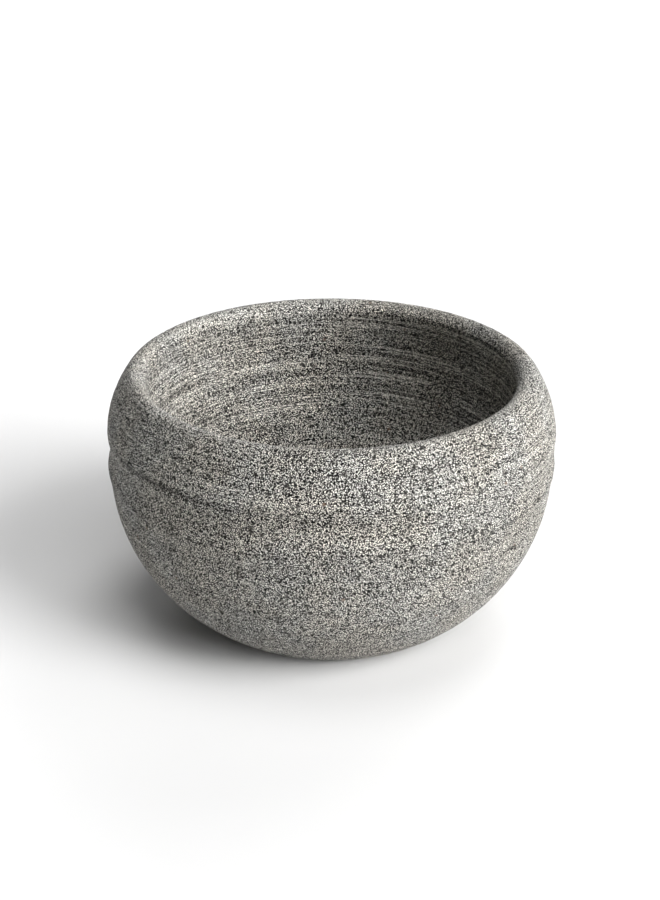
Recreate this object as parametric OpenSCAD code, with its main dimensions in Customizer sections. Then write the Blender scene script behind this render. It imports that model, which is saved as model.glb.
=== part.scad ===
// A one-piece stone mortar bowl, turned on a lathe. All lengths are in millimetres.
// The bowl stands on its flat foot at Z = 0, with its axis on the Z axis.
// Going up, the outside is a round belly, a raised ridge, a shallow cove and a shoulder,
// which turns in to a lip of round section. The hollow is part of one sphere.

/* [Overall] */
// Widest outside diameter, measured over the ridge
bowl_d = 200; // [192:1:212]
// Height from the foot to the top of the lip
bowl_h = 114; // [110:1:120]
// Diameter of the flat foot
foot_d = 120; // [105:1:130]

/* [Lip] */
// Inside diameter of the mouth, between the inner sides of the lip
mouth_d = 163; // [158:1:166]
// Thickness of the lip, which is the diameter of its round section
lip_t = 10; // [8:0.5:11]

/* [Belly] */
// Depth of the widest line of the belly below the top of the lip
belly_drop = 43; // [40:0.5:46]

/* [Ridge] */
// Depth of the ridge below the top of the lip
ridge_drop = 41.3; // [40:0.1:43]
// How far the ridge stands out from the belly
ridge_proud = 1.0; // [0.6:0.1:1.4]
// Radius of the ridge in section
ridge_r = 14.4; // [12:0.1:18]

/* [Cove] */
// Distance from the ridge up to the deepest line of the cove
cove_rise = 8; // [7:0.1:9]
// Depth of the cove, measured inwards from the ridge
cove_depth = 1.0; // [0.8:0.1:1.2]
// Radius of the cove in section
cove_r = 31; // [28:1:34]

/* [Shoulder] */
// Depth of the widest line of the shoulder below the top of the lip
shoulder_drop = 29.8; // [28:0.1:31]
// How far that line lies inside the ridge
shoulder_in = 0.3; // [0.2:0.1:0.5]

/* [Hollow] */
// Thickness of the floor on the axis
floor_t = 16; // [12:0.5:22]

/* [Hidden] */
stone_color = [0.56, 0.56, 0.54];
$fn = 200;

ridge_x = bowl_d / 2;
ridge_z = bowl_h - ridge_drop;
lip_r = lip_t / 2;
lip_x = mouth_d / 2 + lip_r;
lip_z = bowl_h - lip_r;

// The belly is the arc that passes through the edge of the foot and is upright at its widest line.
belly_x = ridge_x - ridge_proud;
belly_z = bowl_h - belly_drop;
belly_run = belly_x - foot_d / 2;
belly_r = (belly_run * belly_run + belly_z * belly_z) / (2 * belly_run);

cove_x = ridge_x - cove_depth;
cove_z = ridge_z + cove_rise;

// The shoulder is the arc that is upright at its widest line and runs into the outer side of the lip.
// The lip stands a hair proud of it, so the two arcs cross and don't just touch.
shoulder_x = ridge_x - shoulder_in;
shoulder_z = bowl_h - shoulder_drop;
lip_proud = 0.08;
lip_inner = lip_r - lip_proud;
shoulder_run = shoulder_x - lip_x;
shoulder_rise = lip_z - shoulder_z;
shoulder_r = (shoulder_run * shoulder_run + shoulder_rise * shoulder_rise - lip_inner * lip_inner)
    / (2 * (shoulder_run - lip_inner));
lip_join_z = lip_z + lip_r * shoulder_rise / (shoulder_r - lip_inner);

// The hollow is the sphere that passes through the inner side of the lip and the top of the floor.
hollow_z = (pow(mouth_d / 2, 2) + lip_z * lip_z - floor_t * floor_t) / (2 * (lip_z - floor_t));
hollow_r = hollow_z - floor_t;

// A disc in the outline, with its centre at (x, z)
module disc(x, z, r) {
    translate([x, z]) circle(r);
}

// The part of the outline's plane between two heights, from the axis outwards
module band(z_low, z_high) {
    translate([0, z_low]) square([bowl_d, z_high - z_low]);
}

module belly_outline() {
    intersection() {
        disc(belly_x - belly_r, belly_z, belly_r);
        band(0, ridge_z);
    }
}

module shoulder_outline() {
    intersection() {
        disc(shoulder_x - shoulder_r, shoulder_z, shoulder_r);
        union() {
            band(belly_z, lip_z);
            translate([lip_x, belly_z]) square([bowl_d, lip_join_z - belly_z]);
        }
    }
}

// Half of the bowl's section, to the right of the axis
module bowl_outline() {
    difference() {
        union() {
            belly_outline();
            shoulder_outline();
            disc(ridge_x - ridge_r, ridge_z, ridge_r);
        }
        disc(cove_x + cove_r, cove_z, cove_r);
        disc(0, hollow_z, hollow_r);
    }
    disc(lip_x, lip_z, lip_r);
}

module bowl() {
    color(stone_color) rotate_extrude() bowl_outline();
}

bowl();
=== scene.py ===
"""Looks of the turned stone mortar bowl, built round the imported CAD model.

The CAD bowl is one smooth body of revolution. Here the same section is swept as a dense mesh,
and the marks of the making are added as real shape: turning lines, scratches, pits and the slight
unevenness of a bowl that was turned by hand. Lengths inside the functions are in millimetres.
"""
import itertools
import math

import bpy
import numpy as np
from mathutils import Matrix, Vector


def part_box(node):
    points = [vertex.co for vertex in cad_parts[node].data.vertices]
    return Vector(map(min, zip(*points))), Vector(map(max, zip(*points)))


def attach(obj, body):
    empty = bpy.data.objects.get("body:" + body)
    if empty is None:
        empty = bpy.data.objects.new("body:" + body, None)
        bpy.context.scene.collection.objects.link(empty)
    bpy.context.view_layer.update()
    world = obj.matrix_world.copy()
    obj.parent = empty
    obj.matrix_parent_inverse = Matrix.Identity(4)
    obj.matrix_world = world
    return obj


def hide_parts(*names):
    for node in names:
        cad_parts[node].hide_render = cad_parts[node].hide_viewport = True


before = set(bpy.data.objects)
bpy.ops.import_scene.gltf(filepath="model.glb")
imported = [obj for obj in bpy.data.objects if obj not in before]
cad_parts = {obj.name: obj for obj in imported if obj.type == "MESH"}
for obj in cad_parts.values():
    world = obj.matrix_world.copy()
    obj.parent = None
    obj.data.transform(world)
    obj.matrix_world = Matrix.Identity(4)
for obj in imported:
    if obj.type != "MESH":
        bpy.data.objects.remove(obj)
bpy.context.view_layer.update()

MM = 0.001
SEED = 41

# Overall size, from the frame
low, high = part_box("bowl")
BOWL_R = (high[0] - low[0]) / 2 / MM
BOWL_H = (high[2] - low[2]) / MM

# The section, as in the CAD model
FOOT_R = 60.0
MOUTH_R = 81.5
LIP_R = 5.0
BELLY_DROP = 43.0
RIDGE_DROP = 41.3
RIDGE_PROUD = 1.0
RIDGE_R = 14.4
COVE_RISE = 8.0
COVE_DEPTH = 1.0
COVE_R = 31.0
SHOULDER_DROP = 29.8
SHOULDER_IN = 0.3
FLOOR_T = 16.0

RIDGE_Z = BOWL_H - RIDGE_DROP
LIP_X = MOUTH_R + LIP_R
LIP_Z = BOWL_H - LIP_R

# The mesh
SEGMENTS = 768
RING_STEP = 0.55
EDGE_SOFTNESS = 0.6

# Unevenness and turning lines, drawn out round the bowl. Each has its pitch, its cells per radian
# and its height, and the turning lines their share of the tone as well.
UNEVENNESS = ((38, 0.9, 0.22), (14, 1.6, 0.10))
TURNING = ((0.95, 2.2, 0.045, 0.35), (2.1, 1.5, 0.06, 0.35), (7.5, 0.8, 0.09, 0.3))
LINES_CLIMB = 1.6
CLIMB_TOWARDS = 0.4
CLIMB_OUTSIDE = 0.4
RELIEF_OUTSIDE = 0.45
TURNING_TONE = 0.65
# How much paler the lip's inner edge is painted: a painted highlight standing in for the light along it
PAINTED_LIP_HIGHLIGHT = 1.6

# How far single strokes show, from 0 to 1: everywhere, and in bundles by strength, place and width.
# A place is a distance down the hollow from the lip's top, or the drop below it outside.
STROKES_OUTSIDE = 0.16
STROKES_INSIDE = 0.3
HOLLOW_BUNDLES = ((0.2, 16, 3), (0.22, 33, 7), (0.2, 54, 4))
BUNDLE_CLIMB = 5
WALL_BUNDLE = (0.1, 19, 6)

# The broken texture of the stone: size and height
BROKEN_TEXTURE = ((0.95, 0.055), (2.3, 0.075))

# Marks of the making: how many stray lines and small pits there are
HOLLOW_SCRATCHES = 150
WALL_SCRATCHES = 110
SMALL_PITS = 900

# The creases: azimuth and half width in degrees, and depth, which also sets how dark their painted shade is
SHOULDER_CREASES = ((-144, 19, 0.26), (-118, 26, 0.14), (-85, 30, 0.07), (-33, 20, 0.12),
                    (40, 50, 0.12), (120, 35, 0.15), (170, 25, 0.12))
SHOULDER_CREASE_DROP = 24.2
RIDGE_CREASES = ((-105, 22, 0.10), (-36, 32, 0.12), (25, 30, 0.10), (150, 50, 0.12))

# The larger pits: azimuth in degrees, and drop below the lip's top or distance from it down the hollow
WALL_PITS = ((-87, 7), (-68, 12), (-96, 25), (-109, 31), (-32, 34), (-18, 19),
             (-129, 23), (-133, 55), (-74, 65), (-91, 70), (-150, 62), (25, 30),
             (48, 16), (80, 50), (105, 26), (140, 58), (165, 20))
HOLLOW_PITS = ((92, 12), (75, 18), (126, 46), (112, 5), (101, 22), (72, 49),
               (-20, 30), (-95, 24), (-150, 40))

# The light: how bright the sky is overhead and where its bright horizon ends, as the direction's Z,
# and the lamps by azimuth, elevation and strength. Together they stand for one very large soft light
# on the right.
SKY_LIGHT = 0.05
HORIZON_TOP = 0.05
SKY_FROM = 0.2
LAMP_SPREAD = 30
LAMPS = (("key", -30, 38, 2.3),
         ("low_key", -30, 15, 2.8),
         ("low_side", 0, 15, 1.2),
         ("high_side", 60, 40, 0.8),
         ("low_back", 90, 15, 1.0),
         ("front", -60, 50, 0.7),
         ("top", 0, 90, 0.8))
FLOOR_GREY = 0.73
FLOOR_REACH = 6.0

# The camera: degrees above the floor, metres away, the point it is aimed at in metres, and its lens
CAMERA_ELEVATION = 25.3
CAMERA_DISTANCE = 0.70
CAMERA_AIM = (-0.0006, 0, 72.9 * MM)
CAMERA_LENS = 62.1

# The grain: its size outside and in the hollow, and its greys by the distance from a grain's middle
# in grains. A grain differs by OWN from the others, and a cluster of grains by SHARED.
GRAIN = 0.5
WORN_GRAIN = 0.58
GRAIN_GREYS = ((0.0, 1.0), (0.27, 0.85), (0.47, 0.02), (0.7, 0.0))
CLUSTER = 1.6
OWN = 0.3
SHARED = 0.12

# The tints of the stone's cooler and warmer patches
PATCH_SCALE = 0.04
COOL = (0.99, 0.975, 0.91)
WARM = (1.0, 0.955, 0.855)

# The turning lines' pitch, and how strongly lines, bands, blotches and the relief's tone show
LINE_PITCH = 0.6
LINES_OUTSIDE = 0.6
LINES_INSIDE = 0.8
BAND_PITCH = 4.5
BROAD = 0.35
BLOTCH_SCALE = 0.16
BLOTCH = 0.4
RELIEF_TONE = 0.13

# Single strokes: pale and dark where the noise is past these values, over STROKE_EDGE
STROKE_PITCH = 0.55
PALE_FROM = 0.6
DARK_FROM = 0.4
STROKE_EDGE = 0.08
PALE_STROKE = (0.42, 0.41, 0.38, 1)
DARK_STROKE = (0.1, 0.1, 0.1, 1)

# Spots: spacing, the share of places that have one, and radius
DARK_SPECKS = (5.0, 0.55, 0.9)
RUST_SPOTS = (9.0, 0.3, 0.85)
SPECK_COLOUR = (0.014, 0.013, 0.012, 1)
RUST_COLOUR = (0.115, 0.072, 0.048, 1)
PIT_COLOUR = (0.02, 0.018, 0.015, 1)

# How rough the grains are, and the ground between them
GRAIN_ROUGHNESS = 0.78
GROUND_ROUGHNESS = 0.97
SPECULAR = 0.3
BUMP_HEIGHT = 0.2


def arc_x(z, x0, z0, r):
    """Outer side of the circle of radius r about (x0, z0), at height z; 0 where z misses it."""
    inside = np.maximum(r * r - (z - z0) ** 2, 0.0)
    return np.where(inside > 0, x0 + np.sqrt(inside), 0.0)


def outer_wall(z):
    """Outside radius of the bowl at height z, from the foot to the start of the lip."""
    belly_z = BOWL_H - BELLY_DROP
    run = BOWL_R - RIDGE_PROUD - FOOT_R
    belly_r = (run * run + belly_z * belly_z) / (2 * run)
    belly = np.where(z < RIDGE_Z, arc_x(z, BOWL_R - RIDGE_PROUD - belly_r, belly_z, belly_r), 0)
    ridge = arc_x(z, BOWL_R - RIDGE_R, RIDGE_Z, RIDGE_R)
    centre, r = shoulder_circle()
    shoulder = np.where(z > belly_z, arc_x(z, centre[0], centre[1], r), 0)
    cove_z = RIDGE_Z + COVE_RISE
    reach = COVE_R * COVE_R - (z - cove_z) ** 2
    cove = np.where(reach > 0, BOWL_R - COVE_DEPTH + COVE_R - np.sqrt(np.maximum(reach, 0)), 1e9)
    return np.minimum(np.maximum(np.maximum(belly, ridge), shoulder), cove)


def shoulder_circle():
    """Centre and radius of the shoulder's arc, upright at its widest line and running into the lip."""
    x = BOWL_R - SHOULDER_IN
    z = BOWL_H - SHOULDER_DROP
    run = x - LIP_X
    rise = LIP_Z - z
    r = (run * run + rise * rise - LIP_R * LIP_R) / (2 * (run - LIP_R))
    return (x - r, z), r


def section():
    """The closed section from the axis under the foot, out, up, over the lip and down to the axis."""
    foot = [(x, 0.0) for x in np.linspace(0, FOOT_R, 120, endpoint=False)]
    centre, r = shoulder_circle()
    join = math.atan2(LIP_Z - centre[1], LIP_X - centre[0])
    wall_z = np.linspace(0, LIP_Z + LIP_R * math.sin(join), 600, endpoint=False)
    wall = list(zip(outer_wall(wall_z), wall_z))
    lip = [(LIP_X + LIP_R * math.cos(a), LIP_Z + LIP_R * math.sin(a))
           for a in np.linspace(join, math.pi, 60)]
    hollow_z = (MOUTH_R ** 2 + LIP_Z ** 2 - FLOOR_T ** 2) / (2 * (LIP_Z - FLOOR_T))
    hollow_r = hollow_z - FLOOR_T
    start = math.atan2(LIP_Z - hollow_z, MOUTH_R)
    hollow = [(hollow_r * math.cos(a), hollow_z + hollow_r * math.sin(a))
              for a in np.linspace(start, -math.pi / 2, 500)[1:]]
    return np.array(foot + wall + lip + hollow)


def resample(line, step):
    """Points every step along a line, with its sharp corners worn round over EDGE_SOFTNESS."""
    length = np.concatenate([[0], np.cumsum(np.hypot(*np.diff(line, axis=0).T))])
    fine = np.arange(0, length[-1], step / 8)
    x = np.interp(fine, length, line[:, 0])
    z = np.interp(fine, length, line[:, 1])
    reach = int(3 * EDGE_SOFTNESS / (step / 8))
    offset = np.arange(-reach, reach + 1) * step / 8
    kernel = np.exp(-0.5 * (offset / EDGE_SOFTNESS) ** 2)
    kernel /= kernel.sum()
    # Mirrored ends, so that the section meets the axis squarely
    x = np.convolve(np.concatenate([-x[reach:0:-1], x, -x[-2:-reach - 2:-1]]), kernel, "valid")
    z = np.convolve(np.concatenate([z[reach:0:-1], z, z[-2:-reach - 2:-1]]), kernel, "valid")
    return np.stack([x, z], 1)[4::8], fine[4::8]


def ring_sizes(line):
    """How many points each ring takes: fewer near the axis, where the rings are small."""
    halvings = np.floor(np.log2(BOWL_R / np.maximum(line[:, 0], 0.5)))
    return (SEGMENTS / 2 ** np.clip(halvings, 0, 6)).astype(int)


def ring_faces(a, a_size, b, b_size):
    """Faces between two rings whose first points are a and b. One may have half the other's points."""
    if a_size == b_size:
        j = np.arange(a_size)
        k = (j + 1) % a_size
        return [np.stack([a + j, a + k, b + k, b + j], 1)]
    flip = a_size < b_size
    if flip:
        a, a_size, b, b_size = b, b_size, a, a_size
    j = np.arange(b_size)
    left, mid, right = 2 * j, 2 * j + 1, (2 * j + 2) % a_size
    k = (j + 1) % b_size
    faces = [np.stack([a + left, a + mid, b + j], 1), np.stack([a + mid, b + k, b + j], 1),
             np.stack([a + mid, a + right, b + k], 1)]
    return [f[:, ::-1] for f in faces] if flip else faces


def swept(line):
    """Grid points and faces of the section swept round the axis.

    Returns azimuth, ring number of every point, and the faces as index arrays."""
    sizes = ring_sizes(line)
    starts = np.concatenate([[0], np.cumsum(sizes)])
    azimuth = np.concatenate([np.arange(n) * 2 * np.pi / n for n in sizes])
    ring = np.repeat(np.arange(len(line)), sizes)
    faces = []
    for k in range(len(line) - 1):
        faces += ring_faces(starts[k], sizes[k], starts[k + 1], sizes[k + 1])
    for k, turn in ((0, -1), (len(line) - 1, 1)):
        j = np.arange(sizes[k])
        pole = np.full(sizes[k], starts[-1] + (turn > 0))
        rim = np.stack([starts[k] + j, starts[k] + (j + 1) % sizes[k], pole], 1)
        faces.append(rim[:, ::turn])
    return azimuth, ring, faces


def lattice_noise(points, seed):
    """Smooth noise from -1 to 1 with a cell of one unit, at an N x 3 array of points."""
    table = np.random.default_rng(seed).uniform(-1, 1, (64, 64, 64))
    base = np.floor(points).astype(int)
    f = points - base
    f = f * f * (3 - 2 * f)
    total = np.zeros(len(points))
    for corner in itertools.product((0, 1), repeat=3):
        i = (base + corner) % 64
        weight = np.prod(np.where(corner, f, 1 - f), axis=1)
        total += weight * table[i[:, 0], i[:, 1], i[:, 2]]
    return total


def streaks(azimuth, along, pitch, turns, seed):
    """Noise drawn out round the bowl: pitch across the streaks, about turns cells per radian."""
    points = np.stack([turns * np.cos(azimuth), turns * np.sin(azimuth), along / pitch], 1)
    return lattice_noise(points + 20.0, seed)


def near(value, centre, width):
    """A soft bump of height 1 about centre."""
    return np.exp(-0.5 * ((value - centre) / width) ** 2)


def turned_round(azimuth, centre):
    """Azimuth counted from centre, from -pi to pi."""
    return (azimuth - centre + np.pi) % (2 * np.pi) - np.pi


class Surface:
    """The points of the swept section, with the relief and the tones that go on them."""

    def __init__(self):
        self.line, self.along_line = resample(section(), RING_STEP)
        self.azimuth, self.ring, self.faces = swept(self.line)
        slope = np.gradient(self.line, axis=0)
        slope /= np.hypot(slope[:, 0], slope[:, 1])[:, None]
        self.normal_line = np.stack([slope[:, 1], -slope[:, 0]], 1)
        self.first = np.searchsorted(self.ring, np.arange(len(self.line) + 1))
        top = int(np.argmax(self.line[:, 1]))
        self.lip_top = self.along_line[top]
        self.along = self.along_line[self.ring]
        r, z = self.line[self.ring].T
        self.points = self.place(r, z)
        self.inside = self.along > self.lip_top
        self.hollow = np.clip((self.along - self.lip_top) / 6, 0, 1)
        self.lines = np.full(len(self.ring), STROKES_OUTSIDE)
        self.relief = np.zeros(len(self.ring))
        self.tone = np.zeros(len(self.ring))
        self.pit = np.zeros(len(self.ring))

    def place(self, r, z):
        """Points at radius r and height z, each at its own azimuth."""
        return np.stack([r * np.cos(self.azimuth), r * np.sin(self.azimuth), z], 1)

    def along_at(self, z):
        """Distance along the section of the outer wall's point at height z."""
        side = (self.along_line <= self.lip_top) & (self.line[:, 0] > FOOT_R / 2)
        k = np.flatnonzero(side)[np.argmin(np.abs(self.line[side, 1] - z))]
        return self.along_line[k]

    def rings_near(self, along, reach):
        """The points whose rings lie within reach of a place on the section."""
        low_ring = np.searchsorted(self.along_line, along - reach)
        high_ring = np.searchsorted(self.along_line, along + reach)
        return slice(self.first[low_ring], self.first[high_ring])

    def mesh_points(self):
        """The points moved out along the section's normals by the relief, none below the foot."""
        nr, nz = self.normal_line[self.ring].T
        moved = self.points + self.relief[:, None] * self.place(nr, nz)
        poles = np.array([[0, 0, 0], [0, 0, FLOOR_T]])
        moved = np.concatenate([moved, poles])
        moved[:, 2] = np.maximum(moved[:, 2], 0)
        return moved


def unevenness(s):
    """The bowl was turned by hand: it is up to a third of a millimetre out of true."""
    for k, (pitch, turns, height) in enumerate(UNEVENNESS):
        s.relief += height * streaks(s.azimuth, s.along, pitch, turns, SEED + k)
    # The cove is shallow on the +X side and deep on the -X side, where the ridge stands out more
    side = np.cos(s.azimuth)
    s.relief += 0.45 * side * near(s.along, s.along_at(RIDGE_Z + COVE_RISE), 5)
    s.relief -= 0.15 * side * near(s.along, s.along_at(RIDGE_Z), 3)


def turning_lines(s):
    """Lines that the tool left round the bowl, plainest in the hollow, and a painted highlight along the
    lip's inner edge.
    """
    climb = LINES_CLIMB * np.cos(s.azimuth - CLIMB_TOWARDS)
    along = s.along + np.where(s.inside, climb, CLIMB_OUTSIDE * climb)
    relief = 0.0
    tone = 0.0
    for k, (pitch, turns, height, shade) in enumerate(TURNING):
        lines = streaks(s.azimuth, along, pitch, turns, SEED + 2 + k)
        relief = relief + height * lines
        tone = tone + shade * lines
    s.relief += np.where(s.inside, 1.0, RELIEF_OUTSIDE) * relief
    s.tone += TURNING_TONE * tone
    # Painted highlight: the lip's inner edge is made paler all round, standing in for the light along it
    s.tone += PAINTED_LIP_HIGHLIGHT * near(s.along, s.lip_top + 3.5, 1.8)


def line_bundles(s):
    """Where the tool's strokes show: three bundles in the hollow, which climb, and one below the lip."""
    down = s.along - s.lip_top - BUNDLE_CLIMB * turned_round(s.azimuth, math.pi / 2)
    hollow = STROKES_INSIDE
    for strength, place, width in HOLLOW_BUNDLES:
        hollow = hollow + strength * near(down, place, width)
    s.lines = np.where(s.inside, hollow * s.hollow, s.lines)
    strength, drop, width = WALL_BUNDLE
    s.lines += strength * near(s.along, s.along_at(BOWL_H - drop), width) * (1 - s.hollow)


def grain(s):
    """The broken texture of the stone itself."""
    for k, (size, height) in enumerate(BROKEN_TEXTURE):
        s.relief += height * lattice_noise(s.points / size, SEED + 5 + k)


def scratch(s, along, azimuth, half_turn, width, height, climb, shade=9):
    """One fine line round part of the bowl, raised or sunk, fading at both ends."""
    part = s.rings_near(along, 4 * width + abs(climb) * half_turn)
    turn = turned_round(s.azimuth[part], azimuth)
    fade = np.clip(1 - (turn / half_turn) ** 2, 0, 1)
    shape = near(s.along[part], along + climb * turn, width) * fade
    s.relief[part] += height * shape
    # Sunk lines are made darker and raised ones paler, by shade times height; in the creases this darkening
    # is painted shade
    s.tone[part] += shade * height * shape


def scratches(s):
    """Stray lines of the tool, most of them in the hollow."""
    rng = np.random.default_rng(SEED + 7)
    end = s.along_line[-1]
    for _ in range(HOLLOW_SCRATCHES):
        along = rng.uniform(s.lip_top + 6, end - 25)
        scratch(s, along, rng.uniform(-np.pi, np.pi), rng.uniform(0.15, 0.9), rng.uniform(0.35, 0.5),
                rng.choice([-1, 1]) * rng.uniform(0.05, 0.13), rng.uniform(-1.5, 3.5))
    for _ in range(WALL_SCRATCHES):
        along = rng.uniform(FOOT_R + 4, s.lip_top - 4)
        scratch(s, along, rng.uniform(-np.pi, np.pi), rng.uniform(0.1, 0.6), rng.uniform(0.35, 0.5),
                rng.choice([-1, 1]) * rng.uniform(0.04, 0.10), rng.uniform(-1, 1))


def creases(s):
    """Two creases, at the shoulder's lower edge and along the ridge, which come and go round the bowl. They
    are darkened with painted shade.
    """
    shoulder = s.along_at(BOWL_H - SHOULDER_CREASE_DROP)
    ridge = s.along_at(RIDGE_Z)
    # The last numbers, 16 and 14, set how dark the painted shade in the creases is
    for azimuth, half_turn, depth in SHOULDER_CREASES:
        scratch(s, shoulder, math.radians(azimuth), math.radians(half_turn), 0.9, -depth, 0.2, 16)
    for azimuth, half_turn, depth in RIDGE_CREASES:
        scratch(s, ridge - 1.2, math.radians(azimuth), math.radians(half_turn), 0.5, -depth, 0.0, 14)


def dent(s, along, azimuth, radius, depth):
    """A pit: a steep-sided hollow with a ragged rim."""
    part = s.rings_near(along, radius * 1.6)
    k = np.searchsorted(s.along_line, along)
    r, z = s.line[min(k, len(s.line) - 1)]
    centre = np.array([r * math.cos(azimuth), r * math.sin(azimuth), z])
    offset = s.points[part] - centre
    ragged = 1 + 0.35 * lattice_noise(s.points[part] / 0.9, SEED + 8)
    away = np.linalg.norm(offset, axis=1) / (radius * ragged)
    bowl = np.clip(1 - away ** 2, 0, 1) ** 0.7
    s.relief[part] -= depth * bowl
    s.pit[part] = np.maximum(s.pit[part], bowl)


def pits(s):
    """Small pits where grains broke out, and a few larger ones."""
    rng = np.random.default_rng(SEED + 9)
    weight = s.line[:, 0] / s.line[:, 0].sum()
    for k in range(SMALL_PITS):
        along = rng.choice(s.along_line, p=weight)
        radius = rng.uniform(0.55, 0.95) if k % 5 else rng.uniform(0.9, 1.5)
        dent(s, along, rng.uniform(-np.pi, np.pi), radius, radius * rng.uniform(0.3, 0.6))
    for azimuth, drop in WALL_PITS:
        dent(s, s.along_at(BOWL_H - drop), math.radians(azimuth), 1.3, 0.7)
    for azimuth, distance in HOLLOW_PITS:
        dent(s, s.lip_top + distance, math.radians(azimuth), 1.2, 0.6)


def stone_mesh(s):
    """The Blender mesh of the surface, with its tones as point attributes."""
    points = s.mesh_points() * MM
    sides = [f.shape[1] for f in s.faces]
    corners = np.concatenate([f.ravel() for f in s.faces])
    loops = np.concatenate([np.full(len(f), n) for f, n in zip(s.faces, sides)])
    mesh = bpy.data.meshes.new("stone_bowl")
    mesh.vertices.add(len(points))
    mesh.vertices.foreach_set("co", points.ravel())
    mesh.loops.add(len(corners))
    mesh.loops.foreach_set("vertex_index", corners.astype(np.int32))
    mesh.polygons.add(len(loops))
    starts = np.concatenate([[0], np.cumsum(loops)[:-1]])
    mesh.polygons.foreach_set("loop_start", starts.astype(np.int32))
    mesh.update(calc_edges=True)
    mesh.shade_smooth()
    layers = (("tone", s.tone, (0, 0)),
              ("pit", s.pit, (0, 0)),
              ("along", s.along, (0, s.along_line[-1])),
              ("hollow", s.hollow, (0, 1)),
              ("lines", s.lines, (0, 0)))
    for name, values, at_poles in layers:
        layer = mesh.attributes.new(name, "FLOAT", "POINT")
        layer.data.foreach_set("value", np.concatenate([values, at_poles]).astype(np.float32))
    return mesh


class Nodes:
    """Short calls for building one material's node tree."""

    def __init__(self, material):
        material.use_nodes = True
        self.tree = material.node_tree
        self.shader = self.tree.nodes["Principled BSDF"]

    def add(self, kind, inputs=(), **settings):
        node = self.tree.nodes.new("ShaderNode" + kind)
        for key, value in settings.items():
            setattr(node, key, value)
        for socket, value in dict(inputs).items():
            self.put(node.inputs[socket], value)
        return node

    def put(self, socket, value):
        if isinstance(value, bpy.types.NodeSocket):
            self.tree.links.new(value, socket)
        else:
            socket.default_value = value

    def math(self, operation, a, b=0.0, clamp=False):
        return self.add("Math", {0: a, 1: b}, operation=operation, use_clamp=clamp).outputs[0]

    def mix(self, factor, a, b, blend="MIX"):
        node = self.add("Mix", {0: factor, 6: a, 7: b}, data_type="RGBA", blend_type=blend)
        return node.outputs[2]

    def ramp(self, value, stops, smooth=False):
        node = self.add("ValToRGB", {0: value})
        node.color_ramp.interpolation = "EASE" if smooth else "LINEAR"
        while len(node.color_ramp.elements) < len(stops):
            node.color_ramp.elements.new(0.5)
        for element, (place, colour) in zip(node.color_ramp.elements, stops):
            element.position = place
            element.color = (*colour, 1) if isinstance(colour, tuple) else (colour, colour, colour, 1)
        return node.outputs[0]


def scaled(n, vector, factor):
    """A vector times a number."""
    return n.add("VectorMath", {0: vector, 3: factor}, operation="SCALE").outputs[0]


def turned_place(n, place, pitch, turns):
    """Texture place for marks drawn out round the bowl: pitch across them, about turns cells per radian."""
    flat = n.add("VectorMath", {0: place, 1: (1, 1, 0)}, operation="MULTIPLY").outputs[0]
    outwards = n.add("VectorMath", {0: flat}, operation="NORMALIZE").outputs[0]
    along = attribute(n, "along")
    across = n.add("CombineXYZ", {2: n.math("MULTIPLY", along, 1 / pitch)}).outputs[0]
    return n.add("VectorMath", {0: scaled(n, outwards, turns), 1: across}, operation="ADD").outputs[0]


def attribute(n, name):
    """One of the numbers kept on the mesh's points."""
    return n.add("Attribute", attribute_name=name).outputs["Fac"]


def noise(n, place, scale, detail):
    """Blender's noise, from 0 to 1."""
    return n.add("TexNoise", {"Vector": place, "Scale": scale, "Detail": detail}).outputs[0]


def random_part(n, cells, part):
    """One of the random numbers, from 0 to 1, of a Voronoi cell."""
    return n.add("SeparateColor", {0: cells.outputs["Color"]}).outputs[part]


def speckle(n, place, size):
    """Pale grains in a dark ground, with clusters of paler and darker ones. Gives grey and depth."""
    grains = n.add("TexVoronoi", {"Vector": place, "Scale": 1 / size})
    pale = n.ramp(grains.outputs["Distance"], GRAIN_GREYS)
    own = n.add("MapRange", {0: random_part(n, grains, 0), 3: 1 - OWN, 4: 1 + OWN}).outputs[0]
    cluster = n.add("TexVoronoi", {"Vector": place, "Scale": 1 / CLUSTER})
    shared = n.add("MapRange", {0: random_part(n, cluster, 1), 3: 1 - SHARED, 4: 1 + SHARED}).outputs[0]
    return scaled(n, pale, n.math("MULTIPLY", own, shared)), grains.outputs["Distance"]


def specks(n, place, spacing, chance, radius, part=0):
    """Masks of small round spots: about one in every cell of the spacing, thinned out by chance."""
    cells = n.add("TexVoronoi", {"Vector": place, "Scale": 1 / spacing})
    kept = n.math("LESS_THAN", random_part(n, cells, part), chance)
    wobble = noise(n, place, 1.6, 1.0)
    away = n.math("ADD", cells.outputs["Distance"], n.math("MULTIPLY", wobble, radius / spacing))
    inner = 1.15 * radius / spacing
    outer = 1.65 * radius / spacing
    edge = n.add("MapRange", {0: away, 1: inner, 2: outer, 3: 1.0, 4: 0.0})
    return n.math("MULTIPLY", kept, edge.outputs[0])


def turning_marks(n, place, fine):
    """How far lines, bands, blotches and the relief's tone make the stone paler or darker."""
    broad = noise(n, turned_place(n, place, BAND_PITCH, 1.2), 1.0, 3.0)
    blotch = noise(n, place, BLOTCH_SCALE, 3.0)
    contrast = n.add("MapRange", {0: attribute(n, "hollow"), 3: LINES_OUTSIDE, 4: LINES_INSIDE}).outputs[0]
    marks = n.math("MULTIPLY", n.math("SUBTRACT", fine, 0.5), contrast)
    marks = n.math("ADD", marks, n.math("MULTIPLY", n.math("SUBTRACT", broad, 0.5), BROAD))
    marks = n.math("ADD", marks, n.math("MULTIPLY", n.math("SUBTRACT", blotch, 0.5), BLOTCH))
    # The tone on the mesh carries the painted shade in the creases and the painted highlight on the lip's
    # inner edge, besides the stone's own marks
    return n.math("ADD", marks, n.math("MULTIPLY", attribute(n, "tone"), RELIEF_TONE))


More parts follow.
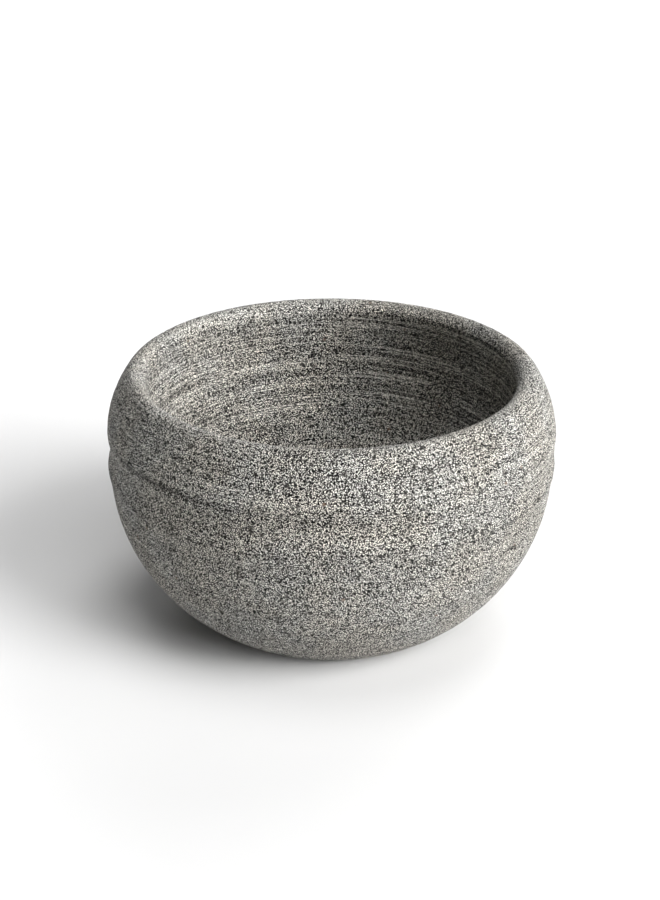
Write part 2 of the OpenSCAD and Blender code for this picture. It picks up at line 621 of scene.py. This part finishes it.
def with_strokes(n, place, colour):
    """Single long strokes of the tool, pale and dark, where the mesh says that they show."""
    lines = attribute(n, "lines")
    stroke = noise(n, turned_place(n, place, STROKE_PITCH, 1.2), 1.0, 0.0)
    pale = n.add("MapRange", {0: stroke, 1: PALE_FROM, 2: PALE_FROM + STROKE_EDGE}).outputs[0]
    colour = n.mix(n.math("MULTIPLY", pale, lines, clamp=True), colour, PALE_STROKE, "ADD")
    dark = n.add("MapRange", {0: stroke, 1: DARK_FROM, 2: DARK_FROM - STROKE_EDGE}).outputs[0]
    return n.mix(n.math("MULTIPLY", dark, lines, clamp=True), colour, DARK_STROKE, "MULTIPLY")


def with_spots(n, place, colour):
    """Dark specks, rust spots and the shade in the pits."""
    dark = specks(n, place, *DARK_SPECKS)
    colour = n.mix(n.math("MULTIPLY", dark, 0.9), colour, SPECK_COLOUR)
    rust = specks(n, place, *RUST_SPOTS, part=1)
    colour = n.mix(n.math("MULTIPLY", rust, 0.75), colour, RUST_COLOUR)
    return n.mix(n.math("MULTIPLY", attribute(n, "pit"), 0.8), colour, PIT_COLOUR)


def stone_material():
    """Fine salt-and-pepper stone, matt, with turning lines, warm patches, dark specks and rust spots."""
    material = bpy.data.materials.new("turned_stone")
    n = Nodes(material)
    place = scaled(n, n.add("TexCoord").outputs["Object"], 1 / MM)
    colour, depth = speckle(n, place, GRAIN)
    worn = speckle(n, place, WORN_GRAIN)[0]
    colour = n.mix(attribute(n, "hollow"), colour, worn)
    tint = n.ramp(noise(n, place, PATCH_SCALE, 4.0), ((0.35, COOL), (0.62, WARM)), smooth=True)
    colour = n.mix(1.0, colour, tint, "MULTIPLY")

    fine = noise(n, turned_place(n, place, LINE_PITCH, 2.6), 1.0, 1.0)
    marks = turning_marks(n, place, fine)
    colour = scaled(n, colour, n.math("MAXIMUM", n.math("ADD", marks, 1.0), 0.0))
    colour = with_strokes(n, place, colour)
    colour = with_spots(n, place, colour)
    n.put(n.shader.inputs["Base Color"], colour)

    rough = n.add("MapRange", {0: depth, 1: 0.0, 2: 0.6, 3: GRAIN_ROUGHNESS, 4: GROUND_ROUGHNESS})
    n.put(n.shader.inputs["Roughness"], rough.outputs[0])
    n.put(n.shader.inputs["Specular IOR Level"], SPECULAR)
    height = n.math("SUBTRACT", n.math("MULTIPLY", fine, 0.8), depth)
    bump = n.add("Bump", {"Height": height, "Strength": 0.7, "Distance": BUMP_HEIGHT * MM})
    n.put(n.shader.inputs["Normal"], bump.outputs[0])
    return material


def stone_bowl():
    """The bowl as it shows, in place of the CAD body."""
    s = Surface()
    for step in (unevenness, turning_lines, line_bundles, grain, scratches, creases, pits):
        step(s)
    piece = bpy.data.objects.new("stone_bowl", stone_mesh(s))
    bpy.context.scene.collection.objects.link(piece)
    piece.data.materials.append(stone_material())
    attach(piece, "root")
    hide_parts("bowl")


def pale_floor():
    """A plain white floor, far wider than the view."""
    mesh = bpy.data.meshes.new("floor")
    w = FLOOR_REACH
    mesh.from_pydata([(-w, -w, 0), (w, -w, 0), (w, w, 0), (-w, w, 0)], [], [(0, 1, 2, 3)])
    piece = bpy.data.objects.new("floor", mesh)
    bpy.context.scene.collection.objects.link(piece)
    material = bpy.data.materials.new("white_paper")
    n = Nodes(material)
    n.put(n.shader.inputs["Base Color"], (FLOOR_GREY, FLOOR_GREY, FLOOR_GREY, 1))
    n.put(n.shader.inputs["Roughness"], 0.9)
    n.put(n.shader.inputs["Specular IOR Level"], 0.1)
    mesh.materials.append(material)


def sky():
    """A dim studio with a bright horizon, so that a low view has a pale background."""
    world = bpy.data.worlds.new("studio")
    world.use_nodes = True
    tree = world.node_tree
    direction = tree.nodes.new("ShaderNodeTexCoord").outputs["Generated"]
    height = tree.nodes.new("ShaderNodeSeparateXYZ")
    tree.links.new(direction, height.inputs[0])
    fade = tree.nodes.new("ShaderNodeMapRange")
    tree.links.new(height.outputs["Z"], fade.inputs["Value"])
    fade.inputs["From Min"].default_value = HORIZON_TOP
    fade.inputs["From Max"].default_value = SKY_FROM
    fade.inputs["To Min"].default_value = 1.0
    fade.inputs["To Max"].default_value = SKY_LIGHT
    tree.links.new(fade.outputs[0], tree.nodes["Background"].inputs["Strength"])
    tree.nodes["Background"].inputs["Color"].default_value = (1, 1, 1, 1)
    bpy.context.scene.world = world


def lamp(name, azimuth, elevation, strength):
    """A soft light from far away. Azimuth 0 is the +X side and 90 the +Y side, in degrees."""
    light = bpy.data.lights.new(name, "SUN")
    light.energy = strength
    light.angle = math.radians(LAMP_SPREAD)
    piece = bpy.data.objects.new(name, light)
    a, e = math.radians(azimuth), math.radians(elevation)
    towards = Vector((math.cos(a) * math.cos(e), math.sin(a) * math.cos(e), math.sin(e)))
    piece.rotation_euler = towards.to_track_quat("Z", "Y").to_euler()
    bpy.context.scene.collection.objects.link(piece)


def camera():
    """The view: from the front, a little above, aimed at the ridge."""
    elevation = math.radians(CAMERA_ELEVATION)
    data = bpy.data.cameras.new("view")
    data.lens = CAMERA_LENS
    piece = bpy.data.objects.new("view", data)
    away = Vector((0, -math.cos(elevation), math.sin(elevation)))
    piece.location = Vector(CAMERA_AIM) + CAMERA_DISTANCE * away
    piece.rotation_euler = (math.pi / 2 - elevation, 0, 0)
    bpy.context.scene.collection.objects.link(piece)
    bpy.context.scene.camera = piece


camera()
stone_bowl()
pale_floor()
sky()
for settings in LAMPS:
    lamp(*settings)
bpy.context.scene.view_settings.view_transform = "Standard"
